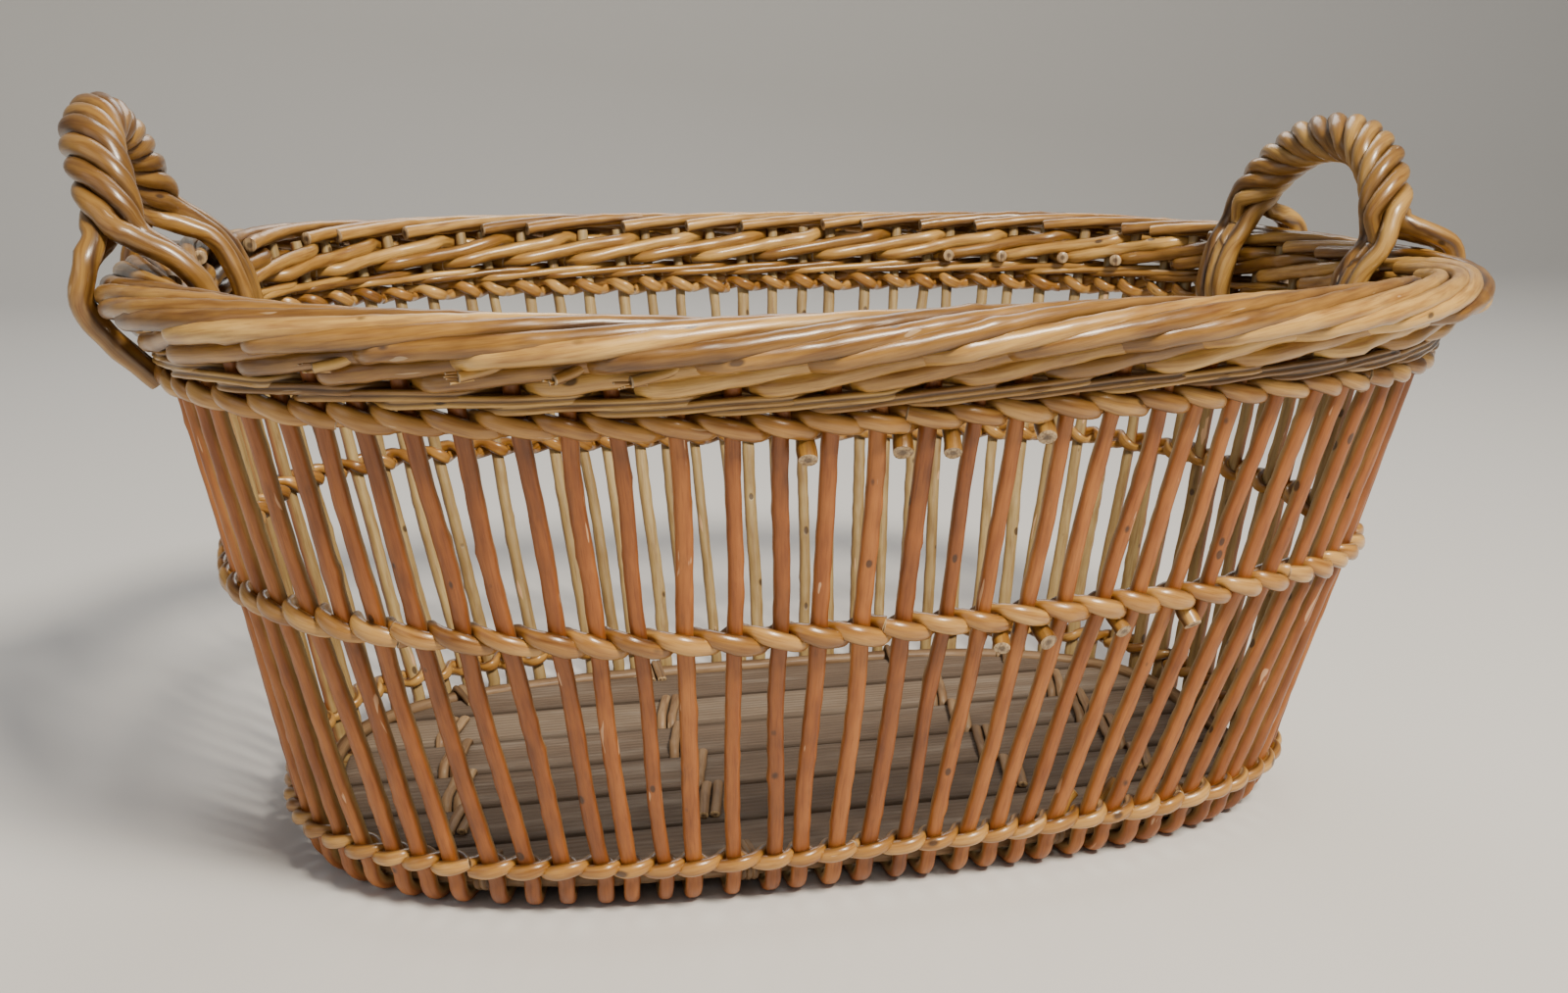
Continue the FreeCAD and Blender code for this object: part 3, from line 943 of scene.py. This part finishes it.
def boardPiece(number):
    # a slat with uneven edges, its ends following the oval
    name = "board_%d" % number
    low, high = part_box(name)
    chance = random.Random(400 + number)
    power = wallShape["squareness"]
    widest = max(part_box("board_%d" % n)[1].x for n in range(1, baseLook["boards"] + 1))
    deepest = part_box("board_%d" % baseLook["boards"])[1].y
    columns = 72
    rows = 8
    grain = chance.uniform(0, 20)
    shade = chance.random()
    wave = [(chance.uniform(8, 60), chance.uniform(0, 6), chance.uniform(0.2, 1.0)) for _ in range(5)]
    mesh = bpy.data.meshes.new("boardPiece%d" % number)
    made = bmesh.new()
    toneLayer = made.verts.layers.float.new("tone")
    cutLayer = made.verts.layers.float.new("cut")
    spaceLayer = made.verts.layers.float_vector.new("rodSpace")

    def halfReach(y):
        inside = max(0.0, 1.0 - (abs(y) / (deepest + 0.0045)) ** power)
        return widest * inside ** (1.0 / power)

    def ragged(x, phase):
        return sum(math.sin(x * f + p + phase) * a for f, p, a in wave) * baseLook["warp"] * 0.5

    grid = {}
    for layer, level in ((0, low.z), (1, high.z)):
        for i in range(columns + 1):
            for j in range(rows + 1):
                v = j / rows
                y = low.y + (high.y - low.y) * v
                reach = halfReach(y) - 0.0008
                x = (i / columns * 2 - 1) * reach
                lift = ragged(x, 2.0 + layer) * 0.6
                if j in (0, rows):
                    y += ragged(x, 5.0 + j) * 0.9
                rim = j in (0, rows) or i in (0, columns)
                inset = baseLook["edgeRound"] * 0.6 if rim else 0.0
                z = level + (lift - inset if layer else -lift * 0.2 + inset)
                vert = made.verts.new((x, y, z))
                vert[toneLayer] = shade
                vert[cutLayer] = 0.85 if rim else (0.15 if j in (1, rows - 1) else 0.0)
                vert[spaceLayer] = Vector((x + grain, y + number * 0.37, z))
                grid[layer, i, j] = vert

    def quad(*corners):
        made.faces.new([grid[corner] for corner in corners])

    for i in range(columns):
        for j in range(rows):
            quad((1, i, j), (1, i + 1, j), (1, i + 1, j + 1), (1, i, j + 1))
            quad((0, i, j + 1), (0, i + 1, j + 1), (0, i + 1, j), (0, i, j))
        quad((0, i, 0), (0, i + 1, 0), (1, i + 1, 0), (1, i, 0))
        quad((1, i, rows), (1, i + 1, rows), (0, i + 1, rows), (0, i, rows))
    for j in range(rows):
        quad((1, 0, j), (1, 0, j + 1), (0, 0, j + 1), (0, 0, j))
        quad((0, columns, j), (0, columns, j + 1), (1, columns, j + 1), (1, columns, j))
    made.normal_update()
    made.to_mesh(mesh)
    made.free()
    mesh.materials.append(boardWood)
    obj = placed("boardPiece%d" % number, mesh)
    bevel = obj.modifiers.new("softEdge", "BEVEL")
    bevel.width = baseLook["edgeRound"]
    bevel.segments = 2
    bevel.limit_method = "ANGLE"
    bevel.angle_limit = math.radians(50)
    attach(obj, root)
    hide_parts(name)


def buildHoop():
    low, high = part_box("base_hoop")
    middle = (low.z + high.z) / 2
    inward = wallLine(0.0, middle)[0] - (high.x - baseLook["hoopHalf"])
    bundle = newBundle()
    for sector in range(8):
        share = np.linspace(sector / 8 + 0.0004, (sector + 1) / 8 - 0.0004, 60)
        path = wallPoint(share, middle, -inward)
        size = baseLook["hoopHalf"] * np.linspace(1.0, 0.9, len(share))
        addRod(bundle, path, outwardAt(path), size, size, 700 + sector, around=14)
    bundleObject("baseHoop", bundle, willowOfBase, ["base_hoop"])
    return middle, inward


def buildBaseWeave():
    # two pairs of flat strands in each row: one goes over a board while the other goes under
    count = baseLook["boards"]
    half = baseLook["strandHalf"]
    boards = [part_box("board_%d" % n) for n in range(1, count + 1)]
    above = boards[0][1].z + half * 0.9
    below = boards[0][0].z - half * 0.9
    for number in range(1, 5):
        name = "base_weave_%d" % number
        low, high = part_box(name)
        centre = (low.x + high.x) / 2
        bundle = newBundle()
        for side in (1, -1):
            for twin in (1, -1):
                points = []
                over = side
                for boardLow, boardHigh in boards:
                    first, last = max(boardLow.y, low.y + 0.002), min(boardHigh.y, high.y - 0.002)
                    if last - first > 0.012:
                        level = above if over > 0 else below
                        slope = baseLook["slope"] * over
                        shift = twin * half * 1.25
                        points.append((centre + shift - slope, first + 0.001, level - 0.0006 * over))
                        points.append((centre + shift * 1.1, (first + last) / 2, level + 0.0004 * over))
                        points.append((centre + shift + slope, last - 0.001, level - 0.0006 * over))
                    over = -over
                path = smoothPath(points)
                addRod(bundle, path, (0.0, 0.0, 1.0), half * 0.75, half * 1.15,
                       800 + number * 10 + side + twin * 3, around=12)
        bundleObject("baseWeave%d" % number, bundle, willowOfBase, [name])


def gapNear(x, side):
    # the gap between stakes nearest to this x at the back (side 1) or the front
    halfCount = stakeCount // 2
    gaps = np.arange(halfCount) + 0.5 + (0 if side > 0 else halfCount)
    return gaps[np.argmin(np.abs(wallLine(gaps / stakeCount, hoopHeight)[:, 0] - x))]


def buildLashings():
    # strands wound round the hoop and on to the boards where a row of weaving ends
    half = baseLook["lashHalf"]
    around = baseLook["hoopHalf"] + half
    bundle = newBundle()
    for number in range(1, 5):
        low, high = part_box("base_weave_%d" % number)
        for side in (1, -1):
            place = gapNear((low.x + high.x) / 2, side)
            for turn in range(3):
                chance = random.Random(900 + number * 10 + side * 3 + turn)
                lean = chance.uniform(-0.12, 0.12)
                where = place + (turn - 1) * 0.20
                flat = [(-hoopIn - 0.021, hoopHeight - around - 0.0005), (-hoopIn, hoopHeight - around),
                        (-hoopIn + around, hoopHeight), (-hoopIn, hoopHeight + around),
                        (-hoopIn - 0.010, hoopHeight + around * 0.8),
                        (-hoopIn - 0.022, hoopHeight + around * 0.45)]
                rows = [wallPoint((where + lean * i / 5) / stakeCount, level, out)
                        for i, (out, level) in enumerate(flat)]
                path = smoothPath(rows, 0.002)
                addRod(bundle, path, (1.0, 0.0, 0.0), half, half, 950 + number * 9 + turn, around=10)
    bundleObject("baseLashings", bundle, willowOfBase, ["base_lashings"])


for boardNumber in range(1, baseLook["boards"] + 1):
    boardPiece(boardNumber)
hoopHeight, hoopIn = buildHoop()
buildBaseWeave()
buildLashings()
print("base made")

cutEnds = {
    "half": 0.0042,
    "underMid": (68.5, 69.5, 71.5, 73.5),       # places counted in stakes
    "underTop": (63.5, 65.5, 66.5, 68.5),
    "underBorder": (54.8, 57.3, 58.9, 60.2),
    "insideBack": (8.6, 10.5, 12.6, 14.4),
    "insideLow": (72.5, 74.1),
}


def shortRod(bundle, rows, half, seed):
    # a cut rod end through points given as place, height and distance outward
    points = [wallPoint(place / stakeCount, level, out) for place, level, out in rows]
    path = smoothPath(points, 0.002)
    addRod(bundle, path, outwardAt(path) + (0, 0, 0.3), half, half, seed, around=14, rough=0.05)


def buildButts():
    for name, height, places in (("mid_band_butts", midHeight, cutEnds["underMid"]),
                                 ("top_band_butts", topHeight, cutEnds["underTop"])):
        bundle = newBundle()
        for number, place in enumerate(places):
            chance = random.Random(1500 + number + len(name) + int(height * 100))
            lean = chance.uniform(-0.12, 0.12)
            rows = [(place - lean, height - 0.001, -0.010), (place, height - 0.0085, 0.0),
                    (place + lean, height - chance.uniform(0.013, 0.018), chance.uniform(0.009, 0.012))]
            shortRod(bundle, rows, cutEnds["half"] * chance.uniform(0.9, 1.1), 1600 + number)
        bundleObject(name.replace("_", ""), bundle, willowOfBorder, [name])


def buildStubs():
    # ends of rods left standing under the border, inside the back and at the foot
    bundle = newBundle()
    half = cutEnds["half"]
    for number, place in enumerate(cutEnds["underBorder"]):
        chance = random.Random(1700 + number)
        drop = chance.uniform(0.0105, 0.0135)
        turn = chance.choice((-1, 1)) * chance.uniform(0.3, 0.7)
        rows = [(place + turn * 2.0, borderMiddle - 0.003, 0.006),
                (place + turn, borderMiddle - drop + 0.003, 0.014), (place, borderMiddle - drop, 0.0205)]
        shortRod(bundle, rows, half * chance.uniform(0.55, 0.8), 1710 + number)
        for splinter in range(4):
            # torn fibres at the cut
            level = borderMiddle - drop + chance.uniform(-0.0025, 0.0025)
            tip = (place - turn * chance.uniform(0.2, 0.5), level + chance.uniform(-0.003, 0.001), 0.0225)
            shortRod(bundle, [(place + turn * 0.4, level, 0.0165), tip], chance.uniform(0.0003, 0.0006),
                     1800 + number * 10 + splinter)
    for number, place in enumerate(cutEnds["insideBack"]):
        rows = [(place, topHeight + 0.017, -0.002), (place - 0.2, topHeight + 0.018, -0.0165)]
        shortRod(bundle, rows, half, 1730 + number)
    for number, place in enumerate(cutEnds["insideLow"]):
        rows = [(place - 0.2, lowHeight + 0.001, -0.0085), (place, lowHeight + 0.007, -0.011),
                (place + 0.3, lowHeight + 0.012, -0.013)]
        shortRod(bundle, rows, half * 1.1, 1750 + number)
    bundleObject("strayEnds", bundle, willowOfBorder, [])


buildButts()
buildStubs()
print("cut ends made")


def plainMaterial(name, colour, roughness):
    material, tree, shader = newMaterial(name)
    shader.inputs["Base Color"].default_value = (*colour, 1.0)
    shader.inputs["Roughness"].default_value = roughness
    return material


studio = {
    "floorColour": (0.69, 0.69, 0.69),
    "worldStrength": 0.24,
    "keyPower": 128.0,
    "fillPower": 7.0,
    "rimPower": 24.0,
}


def buildStudio():
    mesh = bpy.data.meshes.new("paleFloor")
    # floor with a swept-up back
    profile = [(-30.0, 0.0), (2.6, 0.0)]
    for step in range(1, 13):
        turn = step / 12 * math.pi / 2
        profile.append((2.6 + 1.2 * math.sin(turn), 1.2 * (1 - math.cos(turn))))
    profile.append((3.8, 6.0))
    count = len(profile)
    faces = [(i, count + i, count + i + 1, i + 1) for i in range(count - 1)]
    mesh.from_pydata([(x, y, z) for x in (-30.0, 30.0) for y, z in profile], [], faces)
    mesh.polygons.foreach_set("use_smooth", [True] * len(faces))
    mesh.materials.append(plainMaterial("paleFloor", studio["floorColour"], 0.8))
    floor = placed("paleFloor", mesh)

    world = bpy.data.worlds.new("studioWorld")
    bpy.context.scene.world = world
    world.use_nodes = True
    background = world.node_tree.nodes["Background"]
    background.inputs["Color"].default_value = (1.0, 0.98, 0.95, 1.0)
    background.inputs["Strength"].default_value = studio["worldStrength"]
    lamps = (("keyLamp", (0.6, -1.7, 2.3), 0.6, studio["keyPower"], (1.0, 0.90, 0.74)),
             ("fillLamp", (-2.2, -1.2, 1.2), 1.8, studio["fillPower"], (0.95, 0.97, 1.0)),
             ("rimLamp", (0.4, 1.9, 2.1), 1.4, studio["rimPower"], (1.0, 0.97, 0.93)))
    for name, place, size, power, colour in lamps:
        light = bpy.data.lights.new(name, "AREA")
        light.energy = power
        light.size = size
        light.color = colour
        lamp = placed(name, light)
        lamp.location = place
        lamp.rotation_euler = (Vector((0, 0, 0.15)) - Vector(place)).to_track_quat("-Z", "Y").to_euler()


viewpoint = {
    "place": (-0.2308, -0.9252, 0.4123),
    "turn": 13.69,        # degrees to the right of straight ahead
    "down": 12.95,
    "roll": 0.40,
    "lens": 37.22,
    "shiftUp": -0.0169,
}


def buildCamera():
    view = viewpoint
    data = bpy.data.cameras.new("viewCamera")
    data.sensor_width = 36.0
    data.lens = view["lens"]
    data.shift_y = view["shiftUp"]
    camera = placed("viewCamera", data)
    camera.location = view["place"]
    turn, down, roll = (math.radians(view[key]) for key in ("turn", "down", "roll"))
    forward = Vector((math.sin(turn) * math.cos(down), math.cos(turn) * math.cos(down), -math.sin(down)))
    right = Vector((math.cos(turn), -math.sin(turn), 0))
    up = right.cross(forward)
    tiltedRight = right * math.cos(roll) + up * math.sin(roll)
    tiltedUp = up * math.cos(roll) - right * math.sin(roll)
    rows = [(tiltedRight[i], tiltedUp[i], -forward[i], view["place"][i]) for i in range(3)]
    camera.matrix_world = Matrix(rows + [(0, 0, 0, 1)])
    bpy.context.scene.camera = camera


buildStudio()
buildCamera()
